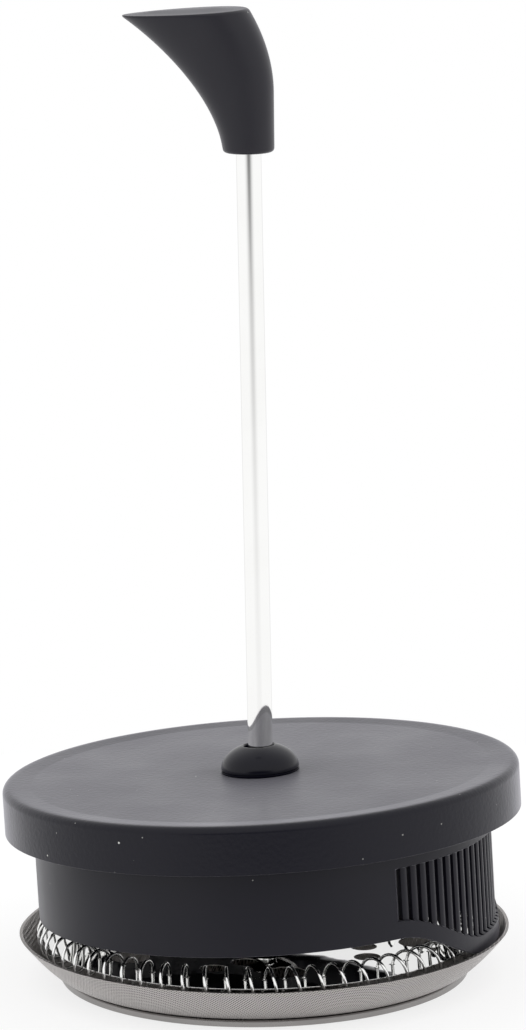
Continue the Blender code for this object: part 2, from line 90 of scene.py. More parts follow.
# Filter.  The plate is thinner than the CAD's, its holes for the coil are smaller, and
# the weave is only in the cloth's material.
FILTER_RADIUS = 49.6
CROSS_RADIUS = 41.3
CROSS_SHEET = 0.7
CROSS_RIM_HEIGHT = 1.4
BOSS_TOP_RADIUS = 13.0
BOSS_FOOT_RADIUS = 17.5
BOSS_TOP_Z = 7.0
CROSS_HOLE_RADIUS = 5.0
CROSS_HOLE_RING = 29.0
CROSS_HOLE_COUNT = 10
BORE_RADIUS = 2.2
MESH_SHEET = 0.35
MESH_EDGE_Z = 9.4
MESH_FLOOR_Z = 1.7
MESH_FLARE_POWER = 0.75
WEAVE_TURN = math.radians(38.0)
WEAVE_PITCH = 0.52
COIL_TURNS = 62
COIL_RING_RADIUS = 42.1
COIL_LOOP_RADIUS = 3.58
COIL_WIRE_RADIUS = 0.31
COIL_Z = 8.5
COIL_STEPS_PER_TURN = 28
PLATE_RADIUS = 44.8
PLATE_TOP_Z = 8.8
PLATE_THICKNESS = 0.3
PLATE_EDGE_ROUND = 0.06
PLATE_COIL_HOLE = 0.6
PLATE_HOLES = ((33.5, 4.0, 67.0), (25.5, 2.6, 51.0), (31.0, 2.6, 41.0))
PLATE_HOLE_REPEATS = 6
PLATE_LEAN = 5.8

# Rod and knob.  The thread grooves and the finer edge round the knob's top are not in
# the CAD.
ROD_RADIUS = 2.5
ROD_CHAMFER = 0.3
ROD_SHOULDER_Z = 10.4
STUD_RADIUS = 1.9
THREAD_DEPTH = 0.28
THREAD_STEP = 0.7
KNOB_SEAT_Z = 167.9
KNOB_BOTTOM_Z = 166.4
KNOB_HEIGHT = 28.35
KNOB_FOOT_RADIUS = 5.1
KNOB_FOOT_ROUND = 0.8
KNOB_FOOT_WIDTH = 10.2
KNOB_BULGE_SHARE = 0.42
KNOB_BULGE_REACH = 5.2
KNOB_BACK_REACH = 0.5
KNOB_HOOK_REACH = 24.6
KNOB_HOOK_POWER = 1.68
KNOB_TOP_WIDTH = 15.2
KNOB_WIDTH_POWER = 1.2
KNOB_TOP_SLOPE = math.tan(math.radians(2.2))
KNOB_TAPER = 0.22
KNOB_EDGE_SHARE = 0.978
KNOB_EDGE_ROUND = 0.55
KNOB_CROWN = 0.42
KNOB_MOUTH_RADIUS = 2.8
KNOB_POCKET_RADIUS = 3.9
KNOB_POCKET_TOP_Z = 180.5

# Lid.  The disc is a little higher than the CAD's and falls from the rim in a soft
# curve instead of a step.
LID_PIVOT_Z = 39.0
LID_TILT = (-math.radians(1.69), -math.radians(2.27), 0.0)
LID_RADIUS = 52.0
LID_TOP_Z = 41.6
LID_RIM_BOTTOM_Z = 32.05
LID_RIM_INSIDE = 50.4
LID_DISC_RADIUS = 46.8
LID_DISC_Z = 41.37
LID_EDGE_ROUND = 1.45
LID_CURVE_INSIDE = 0.6
LID_CURVE_OUTSIDE = 3.0
LID_CURVE_ROUNDS = (12.0, 10.0)
LID_UNDERSIDE_Z = 39.0
SLEEVE_HOLE_RADIUS = 6.0

# Rod guide.  The dome's flange and lip are a little larger than the CAD's.
GUIDE_BORE_RADIUS = 2.975
DOME_RADIUS = 7.85
DOME_HEIGHT = 5.0
DOME_FLANGE = 0.75
DOME_FOOT_DROP = 0.2
DOME_LIP_WIDTH = 0.45
DOME_GROOVE_DEPTH = 0.28
SLEEVE_RADIUS = 5.6
SLEEVE_BOTTOM_Z = 10.8
SLEEVE_BORE_RADIUS = 4.6
BUSH_LIP_RADIUS = 3.9
BUSH_LIP_BOTTOM_Z = 31.5
BUSH_LIP_TOP_Z = 32.4
BUSH_POCKET_RADIUS = 4.3
BUSH_POCKET_TOP_Z = 37.2

# Skirt and strainer
SKIRT_RADIUS = 46.25
SKIRT_INSIDE = 45.05
SKIRT_BAND_RADIUS = 43.4
SKIRT_BAND_Z = 16.0
SKIRT_TOP_Z = 38.6
SKIRT_PLATE_Z = 36.9
SKIRT_BOTTOM_Z = 14.5
STRAINER_AZIMUTH = 77.5
STRAINER_SLOTS = 28
STRAINER_PITCH = 3.16
SLOT_WIDTH_DEGREES = 1.24
SLOT_TOP_Z = 28.5
STRAINER_LEDGE = 3.4
SKIRT_FOOT_INSET = 0.25
SKIRT_TOP_INSET = 0.3
RIB_RECESS = 0.55
RIB_CROWN = 0.22
FOOT_DROP = 8.6
FOOT_HALF_SPAN = 27.0
FOOT_RAMP = 17.0

LID_PLACE = (Matrix.Translation((0, 0, LID_PIVOT_Z * MM)) @ Euler(LID_TILT).to_matrix().to_4x4()
             @ Matrix.Translation((0, 0, -LID_PIVOT_Z * MM)))


# Shader helpers

class Shader:
    """A Principled material with a few ways to drive it from procedural textures."""

    def __init__(self, name, colour, roughness, metallic=0.0, ior=1.45):
        self.material = bpy.data.materials.new(name)
        self.material.use_nodes = True
        self.tree = self.material.node_tree
        self.bsdf = self.tree.nodes["Principled BSDF"]
        self.bsdf.inputs["Base Color"].default_value = (*colour, 1.0)
        self.bsdf.inputs["Roughness"].default_value = roughness
        self.bsdf.inputs["Metallic"].default_value = metallic
        self.bsdf.inputs["IOR"].default_value = ior
        self.colour = colour
        self.coords = self.node("ShaderNodeTexCoord").outputs["Object"]
        self.normal = None

    def node(self, kind, **settings):
        made = self.tree.nodes.new(kind)
        for key, value in settings.items():
            setattr(made, key, value)
        return made

    def link(self, source, target):
        self.tree.links.new(source, target)

    def math(self, operation, a, b=None, c=None, clamp=False):
        made = self.node("ShaderNodeMath", operation=operation, use_clamp=clamp)
        for socket, value in zip(made.inputs, (a, b, c)):
            if value is None:
                continue
            if isinstance(value, (int, float)):
                socket.default_value = value
            else:
                self.link(value, socket)
        return made.outputs[0]

    def noise(self, scale, detail=3.0, stretch=(1, 1, 1), roughness=0.5):
        """Noise with about `scale` features a metre along each axis, times stretch."""
        mapping = self.node("ShaderNodeMapping")
        mapping.inputs["Scale"].default_value = stretch
        self.link(self.coords, mapping.inputs["Vector"])
        texture = self.node("ShaderNodeTexNoise")
        texture.inputs["Scale"].default_value = scale
        texture.inputs["Detail"].default_value = detail
        texture.inputs["Roughness"].default_value = roughness
        self.link(mapping.outputs["Vector"], texture.inputs["Vector"])
        return texture.outputs["Fac"]

    def ramp(self, value, low, high, out_low=0.0, out_high=1.0):
        """Map a value linearly between two bounds, clamped."""
        made = self.node("ShaderNodeMapRange", clamp=True)
        for index, number in enumerate((low, high, out_low, out_high)):
            made.inputs[index + 1].default_value = number
        self.link(value, made.inputs[0])
        return made.outputs[0]

    def specks(self, cells, share, radius):
        """Sparse round specks: 1 inside a speck, 0 outside.  radius is a share of a cell."""
        cell = self.node("ShaderNodeTexVoronoi", feature="F1")
        cell.inputs["Scale"].default_value = cells
        self.link(self.coords, cell.inputs["Vector"])
        split = self.node("ShaderNodeSeparateColor")
        self.link(cell.outputs["Color"], split.inputs[0])
        chosen = self.math("LESS_THAN", split.outputs[0], share)
        size = self.math("MULTIPLY", split.outputs[1], radius)
        near = self.math("LESS_THAN", cell.outputs["Distance"], size)
        return self.math("MULTIPLY", chosen, near)

    def vary_colour(self, factor, colour):
        """Mix towards a second colour by a factor."""
        mix = self.node("ShaderNodeMix", data_type="RGBA")
        source = self.bsdf.inputs["Base Color"]
        if source.is_linked:
            self.link(source.links[0].from_socket, mix.inputs["A"])
        else:
            mix.inputs["A"].default_value = (*self.colour, 1.0)
        mix.inputs["B"].default_value = (*colour, 1.0)
        self.link(factor, mix.inputs["Factor"])
        self.link(mix.outputs["Result"], source)
        return self

    def vary_roughness(self, value):
        self.link(value, self.bsdf.inputs["Roughness"])
        return self

    def bump(self, height, distance, strength=1.0):
        """Add relief; distance is the height in millimetres."""
        made = self.node("ShaderNodeBump")
        made.inputs["Distance"].default_value = distance * MM
        made.inputs["Strength"].default_value = strength
        self.link(height, made.inputs["Height"])
        if self.normal:
            self.link(self.normal, made.inputs["Normal"])
        self.normal = made.outputs["Normal"]
        self.link(self.normal, self.bsdf.inputs["Normal"])
        return self


def grained_plastic(name, level, roughness, grain, dust=0.0, ior=1.4, sheen=0.0, pebble=0.0):
    """Moulded black plastic: fine spark-eroded grain, faint handling marks and dust.

    grain and pebble are the heights in millimetres of a fine and a coarser relief.
    """
    shader = Shader(name, (level, level * 0.95, level + BLACK_BLUE), roughness, ior=ior)
    shader.bsdf.inputs["Sheen Tint"].default_value = (0.92, 0.905, 1.0, 1.0)
    shader.bsdf.inputs["Sheen Weight"].default_value = sheen
    shader.bsdf.inputs["Sheen Roughness"].default_value = 0.3
    marks = shader.noise(55, 4.0)
    fine = shader.noise(4200, 2.0)
    shader.vary_roughness(shader.ramp(marks, 0.3, 0.7, roughness - 0.05, roughness + 0.06))
    worn = level * 1.7
    shader.vary_colour(shader.ramp(marks, 0.45, 0.8, 0.0, 0.5),
                       (worn, worn * 0.95, worn + BLACK_BLUE))
    if dust:
        shader.vary_colour(shader.specks(210, dust, 0.06), (0.6, 0.6, 0.58))
        shader.vary_colour(shader.specks(520, dust * 0.7, 0.09), (0.3, 0.3, 0.29))
    shader.bump(fine, grain)
    if pebble:
        shader.bump(shader.noise(1100, 3.0), pebble)
    return shader.material


def bright_steel(name, level, low, high, lines, scratch):
    """Polished steel: drawing or turning lines, hairline scratches, faint smears."""
    shader = Shader(name, (level, level, level * 0.99), low, metallic=1.0)
    smear = shader.noise(70, 5.0)
    shader.vary_roughness(shader.ramp(smear, 0.35, 0.75, low, high))
    smeared = (level * 0.9, level * 0.89, level * 0.87)
    shader.vary_colour(shader.ramp(smear, 0.4, 0.8, 0.0, 0.35), smeared)
    shader.bump(shader.noise(1500, 2.0, stretch=lines), scratch)
    return shader.material


def leaning_mirror(name):
    """Mirror steel whose face leans a little back, with the slight waves of thin sheet."""
    shader = Shader(name, (0.9, 0.9, 0.89), 0.03, metallic=1.0)
    smear = shader.noise(70, 5.0)
    shader.vary_roughness(shader.ramp(smear, 0.35, 0.75, 0.004, 0.02))
    split = shader.node("ShaderNodeSeparateXYZ")
    shader.link(shader.coords, split.inputs[0])
    lean = shader.math("MULTIPLY", split.outputs["Y"], -1.0)
    shader.bump(lean, math.tan(math.radians(PLATE_LEAN)) / MM)
    shader.bump(shader.noise(90, 2.0), 0.012)
    return shader.material


def bright_brass(name):
    """Turned brass."""
    shader = Shader(name, (0.72, 0.5, 0.2), 0.3, metallic=1.0)
    shader.bump(shader.noise(900, 2.0, stretch=(1, 1, 0.1)), 0.01)
    return shader.material


def satin_steel(name):
    """Pressed sheet with fine lines that run round the axis."""
    shader = Shader(name, (0.31, 0.298, 0.293), 0.28, metallic=1.0)
    radial = shader.node("ShaderNodeVectorMath", operation="LENGTH")
    flat = shader.node("ShaderNodeVectorMath", operation="MULTIPLY")
    flat.inputs[1].default_value = (1, 1, 0)
    shader.link(shader.coords, flat.inputs[0])
    shader.link(flat.outputs["Vector"], radial.inputs[0])
    line = shader.node("ShaderNodeTexNoise", noise_dimensions="1D")
    line.inputs["Scale"].default_value = 3500
    shader.link(radial.outputs["Value"], line.inputs["W"])
    stain = shader.noise(60, 5.0)
    shader.vary_roughness(shader.ramp(stain, 0.3, 0.75, 0.22, 0.42))
    shader.vary_colour(shader.ramp(stain, 0.45, 0.8, 0.0, 0.6), (0.23, 0.222, 0.218))
    shader.bump(line.outputs["Fac"], 0.012)
    return shader.material


def woven_steel(name):
    """Square-woven wire cloth drawn into a dish.

    The cloth was flat before it was drawn, so its wires follow the flat sheet's
    x and y: a point on the flare is looked up at its distance along the sheet.
    """
    shader = Shader(name, (0.58, 0.55, 0.537), 0.34, metallic=1.0)
    split = shader.node("ShaderNodeSeparateXYZ")
    shader.link(shader.coords, split.inputs[0])
    x, y, z = split.outputs
    square = shader.math("ADD", shader.math("POWER", x, 2.0), shader.math("POWER", y, 2.0))
    radius = shader.math("SQRT", square)
    rise = shader.math("MAXIMUM", shader.math("SUBTRACT", z, MESH_FLOOR_Z * MM), 0.0)
    gained = shader.math("DIVIDE", shader.math("MULTIPLY", rise, 0.45), radius)
    stretch = shader.math("ADD", 1.0, gained)
    waves = []
    for turn in (WEAVE_TURN, WEAVE_TURN + math.pi / 2):
        across = shader.math("ADD", shader.math("MULTIPLY", x, math.cos(turn)),
                             shader.math("MULTIPLY", y, math.sin(turn)))
        along = shader.math("MULTIPLY", across, stretch)
        turned = shader.math("MULTIPLY", along, math.pi / (WEAVE_PITCH * MM))
        waves.append(shader.math("SINE", turned))
    warp, weft = (shader.math("ABSOLUTE", wave) for wave in waves)
    over = shader.math("MULTIPLY", *waves)
    wires = shader.math("MAXIMUM", warp, weft)
    height = shader.math("ADD", shader.math("MULTIPLY", wires, 0.8),
                         shader.math("MULTIPLY", over, 0.25))
    # The gaps between the wires are painted near black: painted shade, standing in for the open
    # holes of the cloth and the shade seen through them.
    shader.vary_colour(shader.ramp(wires, 0.62, 0.97, 1.0, 0.0), (0.03, 0.028, 0.027))
    stain = shader.noise(45, 4.0)
    shader.vary_colour(shader.ramp(stain, 0.45, 0.8, 0.0, 0.4), (0.3, 0.28, 0.27))
    shader.bump(height, 0.15)
    return shader.material


def floor_material():
    """White paper lit from below too, so that it meets the white background."""
    shader = Shader("studio_floor", (0.3, 0.3, 0.3), 0.9)
    shader.bsdf.inputs["Specular IOR Level"].default_value = 0.0
    shader.bsdf.inputs["Emission Color"].default_value = (1, 1, 1, 1)
    shader.bsdf.inputs["Emission Strength"].default_value = 0.74
    return shader.material


# Mesh helpers

def around(radius, angle, z):
    """A point in metres, at an angle round Z from the front, from sizes in millimetres."""
    return radius * math.sin(angle) * MM, -radius * math.cos(angle) * MM, z * MM


def finish_mesh(name, bm, material, body, nodes, place=None, sharp=35.0):
    """Turn a bmesh into a shaded piece that rides on a body and stands for CAD nodes."""
    bmesh.ops.recalc_face_normals(bm, faces=bm.faces)
    mesh = bpy.data.meshes.new(name)
    bm.to_mesh(mesh)
    bm.free()
    if place:
        mesh.transform(place)
    mesh.shade_smooth()
    mesh.set_sharp_from_angle(angle=math.radians(sharp))
    piece = bpy.data.objects.new(name, mesh)
    bpy.context.scene.collection.objects.link(piece)
    mesh.materials.append(material)
    shading = piece.modifiers.new("Shading", "WEIGHTED_NORMAL")
    shading.keep_sharp = True
    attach(piece, body)
    if nodes:
        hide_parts(*nodes)
    return piece


def fillet(corners, steps=6):
    """Round the corners (r, z, radius) of a closed outline; returns (r, z) points."""
    outline = []
    for index, (r, z, radius) in enumerate(corners):
        if not radius:
            outline.append((r, z))
            continue
        corner = Vector((r, z))
        back = (Vector(corners[index - 1][:2]) - corner).normalized()
        ahead = (Vector(corners[(index + 1) % len(corners)][:2]) - corner).normalized()
        half = back.angle(ahead) / 2
        centre = corner + (back + ahead).normalized() * radius / math.sin(half)
        start = corner + back * radius / math.tan(half) - centre
        end = corner + ahead * radius / math.tan(half) - centre
        for step in range(steps + 1):
            outline.append(tuple(centre + radius * start.slerp(end, step / steps).normalized()))
    return outline


def lathe(bm, outline, segments, closed=True, wobble=None):
    """Turn an outline of (r, z) points round Z; wobble(angle, r, z) may move a point."""
    rings = []
    for r, z in outline:
        ring = []
        for index in range(segments):
            angle = 2 * math.pi * index / segments
            here_r, here_z = wobble(angle, r, z) if wobble else (r, z)
            if r <= 0 and ring:
                ring.append(ring[0])
                continue
            ring.append(bm.verts.new(around(here_r, angle, here_z)))
        rings.append(ring)
    pairs = list(zip(rings, rings[1:]))
    if closed:
        pairs.append((rings[-1], rings[0]))
    for a, b in pairs:
        for index in range(segments):
            after = (index + 1) % segments
            corners = []
            for vert in (a[index], b[index], b[after], a[after]):
                if vert not in corners:
                    corners.append(vert)
            bm.faces.new(corners)


def smoothstep(value):
    value = min(max(value, 0.0), 1.0)
    return value * value * (3 - 2 * value)


def foot_drop(azimuth):
    away = abs((azimuth - STRAINER_AZIMUTH + 180) % 360 - 180)
    return FOOT_DROP * smoothstep((FOOT_HALF_SPAN + FOOT_RAMP - away) / (2 * FOOT_RAMP))


# Lid

def make_cover(material):
    bm = bmesh.new()
    lathe(bm, fillet([
        (SLEEVE_HOLE_RADIUS, LID_DISC_Z, 0),
        (LID_DISC_RADIUS - LID_CURVE_INSIDE, LID_DISC_Z, LID_CURVE_ROUNDS[0]),
        (LID_DISC_RADIUS + LID_CURVE_OUTSIDE, LID_TOP_Z, LID_CURVE_ROUNDS[1]),
        (LID_RADIUS, LID_TOP_Z, LID_EDGE_ROUND),
        (LID_RADIUS, LID_RIM_BOTTOM_Z, 0.12),
        (LID_RIM_INSIDE, LID_RIM_BOTTOM_Z, 0.3),
        (LID_RIM_INSIDE, LID_UNDERSIDE_Z, 0.6),
        (SLEEVE_HOLE_RADIUS, LID_UNDERSIDE_Z, 0),
    ]), 192)
    finish_mesh("cover", bm, material, "lid", ["lid_cover"], LID_PLACE)


def strainer_columns():
    """Azimuths of the skirt's grid, each with whether a slot follows it and its rib shape.

    The last value is None outside the strainer, and inside it runs from -1 to 1 across a rib.
    """
    start = STRAINER_AZIMUTH - STRAINER_PITCH * STRAINER_SLOTS / 2
    end = start + STRAINER_PITCH * STRAINER_SLOTS
    columns = []
    rib = STRAINER_PITCH - SLOT_WIDTH_DEGREES
    for slot in range(STRAINER_SLOTS):
        left = start + rib / 2 + slot * STRAINER_PITCH
        columns.append((left, True, 1.0))
        if slot < STRAINER_SLOTS - 1:
            right = left + SLOT_WIDTH_DEGREES
            for step in range(5):
                across = -1 + step * 0.4
                columns.append((right + rib * step / 5, False, across))
        else:
            columns.append((left + SLOT_WIDTH_DEGREES, False, 1.0))
    plain = 120
    gap = 360 - (end - start)
    columns.append((end, False, None))
    for step in range(1, plain):
        columns.append((end + gap * step / plain, False, None))
    columns.append((start + 360, False, None))
    return columns


def make_skirt(material):
    """Grid of columns round the skirt by rows up it, with the slots left out.

    Rows follow the dipping lower edge at the bottom and are level at the top, and
    the strainer's ribs lie a little behind the skirt's face and have round fronts.
    """
    rows = []
    for share in (0.0, 0.03, 0.12, 0.5, 0.94, 1.0):
        rows.append(("ledge", share, False))
    for share in (0.0, 0.02, 0.25, 0.5, 0.75, 0.98, 1.0):
        rows.append(("slot", share, True))
    for share in (0.0, 0.04, 0.5, 0.97, 1.0):
        rows.append(("plain", share, False))
    columns = strainer_columns()
    bm = bmesh.new()

    def height(row, azimuth):
        zone, share, _ = row
        low = SKIRT_BOTTOM_Z - foot_drop(azimuth)
        if zone == "ledge":
            return low + STRAINER_LEDGE * share
        if zone == "slot":
            return low + STRAINER_LEDGE + (SLOT_TOP_Z - low - STRAINER_LEDGE) * share
        return SLOT_TOP_Z + (SKIRT_TOP_Z - SLOT_TOP_Z) * share

    outer, inner = [], []
    for azimuth, _, across in columns:
        angle = math.radians(azimuth)
        outside, within = [], []
        for row in rows:
            zone, share, in_window = row
            z = height(row, azimuth)
            r = SKIRT_RADIUS
            if across is not None and in_window and 0.0 < share < 1.0:
                r -= RIB_RECESS + RIB_CROWN * across * across
            foot = SKIRT_FOOT_INSET if zone == "ledge" and share == 0.0 else 0.0
            r -= foot
            if zone == "plain" and share == 1.0:
                r -= SKIRT_TOP_INSET
            inside = SKIRT_BAND_RADIUS
            if z < SKIRT_BAND_Z:
                inside = SKIRT_INSIDE + foot
            for store, radius in ((outside, r), (within, inside)):
                store.append(bm.verts.new(around(radius, angle, z)))
        outer.append(outside)
        inner.append(within)
    count = len(columns)
    window_rows = [i for i, row in enumerate(rows) if row[0] == "slot"]
    first, last = window_rows[0], window_rows[-1]
    for column in range(count):
        after = (column + 1) % count
        slot = columns[column][1]
        for row in range(len(rows) - 1):
            if slot and first <= row < last:
                continue
            for wall, low, high in ((outer, row, row + 1), (inner, row + 1, row)):
                here, there = wall[column], wall[after]
                bm.faces.new((here[low], there[low], there[high], here[high]))
        bm.faces.new((inner[column][0], inner[after][0], outer[after][0], outer[column][0]))
        if slot:
            for side in (column, after):
                face, back = outer[side], inner[side]
                for row in range(first, last):
                    bm.faces.new((face[row], face[row + 1], back[row + 1], back[row]))
            for row in (first, last):
                bm.faces.new((outer[column][row], outer[after][row],
                              inner[after][row], inner[column][row]))
    # The plate that closes the skirt's top, with the sleeve's hole
    holes = []
    for z in (SKIRT_TOP_Z, SKIRT_PLATE_Z):
        angles = [math.radians(azimuth) for azimuth, _, _ in columns]
        holes.append([bm.verts.new(around(SLEEVE_HOLE_RADIUS, angle, z)) for angle in angles])
    top_hole, low_hole = holes
    for column in range(count):
        after = (column + 1) % count
        bm.faces.new((outer[column][-1], outer[after][-1], top_hole[after], top_hole[column]))
        bm.faces.new((low_hole[column], low_hole[after], top_hole[after], top_hole[column]))
        bm.faces.new((low_hole[after], low_hole[column], inner[column][-1], inner[after][-1]))
    finish_mesh("skirt", bm, material, "lid", ["strainer_skirt"],
                LID_PLACE, sharp=40.0)


def make_dome(material):
    base = LID_TOP_Z - DOME_FOOT_DROP
    spring = base + DOME_FLANGE
    bore = GUIDE_BORE_RADIUS
    steps = 24
    top_angle = math.acos((bore + DOME_LIP_WIDTH) / DOME_RADIUS)
    dome = []
    for step in range(steps + 1):
        angle = top_angle * (1 - step / steps)
        dome.append((DOME_RADIUS * math.cos(angle), spring + DOME_HEIGHT * math.sin(angle)))
    groove_radius = DOME_RADIUS - DOME_GROOVE_DEPTH
    groove = [(groove_radius, spring - 0.08), (groove_radius, spring - 0.2),
              (DOME_RADIUS, spring - 0.28)]
    foot = [(DOME_RADIUS + 0.02, base + 0.12), (DOME_RADIUS - 0.1, base), (SLEEVE_RADIUS, base)]
    sleeve = [(SLEEVE_RADIUS, SLEEVE_BOTTOM_Z), (SLEEVE_BORE_RADIUS, SLEEVE_BOTTOM_Z),
              (SLEEVE_BORE_RADIUS, BUSH_LIP_BOTTOM_Z), (BUSH_LIP_RADIUS, BUSH_LIP_BOTTOM_Z),
              (BUSH_LIP_RADIUS, BUSH_LIP_TOP_Z), (BUSH_POCKET_RADIUS, BUSH_LIP_TOP_Z),
              (BUSH_POCKET_RADIUS, BUSH_POCKET_TOP_Z), (bore, BUSH_POCKET_TOP_Z)]
    top_z = dome[0][1]
    lip = [(bore, top_z - 0.35), (bore + 0.12, top_z - 0.08), (bore + 0.26, top_z + 0.03)]
    bm = bmesh.new()
    lathe(bm, dome + groove + foot + sleeve + lip, 96)
    finish_mesh("dome", bm, material, "lid", ["rod_guide"], LID_PLACE, sharp=50.0)


# Rod and knob

def threaded(start, end):
    """A screwed length of the rod's studs, as a row of vee grooves."""
    count = int(abs(start - end) / THREAD_STEP)
    step = (end - start) / count
    points = []
    for index in range(count):
        z = start + step * index
        points += [(STUD_RADIUS, z + step * 0.1), (STUD_RADIUS - THREAD_DEPTH, z + step * 0.55)]
    return points


def make_rod(material):
    low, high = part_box("plunger_rod")
    top = high.z / MM
    bottom = low.z / MM
    seat = KNOB_SEAT_Z
    shoulder = ROD_SHOULDER_Z
    chamfer = ROD_CHAMFER
    upper = threaded(top - chamfer, seat + 1.0)
    lower = threaded(shoulder - 1.5, bottom + chamfer)
    body = [
        (STUD_RADIUS, seat), (ROD_RADIUS - chamfer, seat), (ROD_RADIUS - 0.08, seat - 0.1),
        (ROD_RADIUS, seat - chamfer), (ROD_RADIUS, shoulder + chamfer),
        (ROD_RADIUS - chamfer, shoulder), (STUD_RADIUS, shoulder),
    ]
    tip = [(0.0, top), (STUD_RADIUS - chamfer, top)]
    foot = [(STUD_RADIUS - chamfer, bottom), (0.0, bottom)]
    bm = bmesh.new()
    lathe(bm, tip + upper + body + lower + foot, 72, closed=False)
    finish_mesh("rod", bm, material, "plunger", ["plunger_rod"], sharp=15.0)


def knob_section(t):
    """Back and hook reach, width and tilt of the knob at a share t of its height."""
    base = KNOB_FOOT_RADIUS
    bulge = KNOB_BULGE_REACH
    if t < KNOB_BULGE_SHARE:
        back = base + (bulge - base) * t / KNOB_BULGE_SHARE
    else:
        past = (t - KNOB_BULGE_SHARE) / (1 - KNOB_BULGE_SHARE)
        back = bulge - (bulge - KNOB_BACK_REACH) * past ** 2
    hook = -base - (KNOB_HOOK_REACH - base) * t ** KNOB_HOOK_POWER
    width = KNOB_FOOT_WIDTH + (KNOB_TOP_WIDTH - KNOB_FOOT_WIDTH) * t ** KNOB_WIDTH_POWER
    return back, hook, width, KNOB_TOP_SLOPE * t ** 3


def make_knob(material):
    """Loft from a round foot to an egg-shaped, softly crowned top."""
    sides = 96
    bm = bmesh.new()

    def ring(t, inset=0.0, lift=0.0):
        back, hook, width, slope = knob_section(t)
        middle = (back + hook) / 2
        half = (back - hook) / 2
        z = KNOB_BOTTOM_Z + KNOB_HEIGHT * t + lift
        made = []
        for side in range(sides):
            angle = 2 * math.pi * side / sides
            taper = 1 + KNOB_TAPER * t * math.cos(angle)
            x = middle + max(half - inset, 0.02) * math.cos(angle)
            y = max(width / 2 - inset, 0.02 * width) * math.sin(angle) * taper
            made.append(bm.verts.new((x * MM, y * MM, (z + slope * (x - 0.5)) * MM)))
        return made

    foot = KNOB_FOOT_ROUND
    rings = []
    for step in range(7):
        angle = math.pi / 2 * step / 6
        rings.append(ring(0.0, foot * (1 - math.sin(angle)), foot * (1 - math.cos(angle))))
    start = foot / KNOB_HEIGHT
    for section in range(1, 45):
        rings.append(ring(start + (KNOB_EDGE_SHARE - start) * section / 44))
    edge = KNOB_EDGE_ROUND
    for step in range(1, 8):
        angle = math.pi / 2 * step / 7
        share = KNOB_EDGE_SHARE + (1 - KNOB_EDGE_SHARE) * math.sin(angle)
        rings.append(ring(share, edge * (1 - math.cos(angle))))
    for inset in (1.0, 1.8, 3.0, 4.4, 6.0, 7.2):
        rings.append(ring(1.0, inset, KNOB_CROWN * smoothstep((inset - edge) / 7.0)))
    hole = []
    for z, r in ((KNOB_BOTTOM_Z, KNOB_MOUTH_RADIUS), (KNOB_SEAT_Z, KNOB_MOUTH_RADIUS),
                 (KNOB_SEAT_Z, KNOB_POCKET_RADIUS), (KNOB_POCKET_TOP_Z, KNOB_POCKET_RADIUS)):
        circle = []
        for side in range(sides):
            angle = 2 * math.pi * side / sides
            x, y = r * math.cos(angle), r * math.sin(angle)
            circle.append(bm.verts.new((x * MM, y * MM, z * MM)))
        hole.append(circle)
    chain = hole[::-1] + rings
    for lower, upper in zip(chain, chain[1:]):
        for side in range(sides):
            after = (side + 1) % sides
            bm.faces.new((lower[side], lower[after], upper[after], upper[side]))
    bm.faces.new(hole[-1])
    bm.faces.new(rings[-1])
    finish_mesh("knob_skin", bm, material, "plunger", ["knob"], sharp=60.0)


# Filter

def make_coil(material):
    """The edge spring as one closed round wire; each turn crosses the plate at its inner side."""
    curve = bpy.data.curves.new("spring_coil", "CURVE")
    curve.dimensions = "3D"
    curve.bevel_depth = COIL_WIRE_RADIUS * MM
    curve.bevel_resolution = 3
    spline = curve.splines.new("POLY")
    count = COIL_TURNS * COIL_STEPS_PER_TURN
    spline.points.add(count - 1)
    spline.use_cyclic_u = True
    for index, point in enumerate(spline.points):
        loop = 2 * math.pi * index / COIL_STEPS_PER_TURN
        radius = COIL_RING_RADIUS - COIL_LOOP_RADIUS * math.cos(loop)
        z = COIL_Z + COIL_LOOP_RADIUS * math.sin(loop)
        point.co = (*around(radius, 2 * math.pi * index / count, z), 1.0)
    curve.materials.append(material)
    coil = bpy.data.objects.new("spring_coil", curve)
    bpy.context.scene.collection.objects.link(coil)
    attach(coil, "plunger")
    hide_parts("edge_spring")


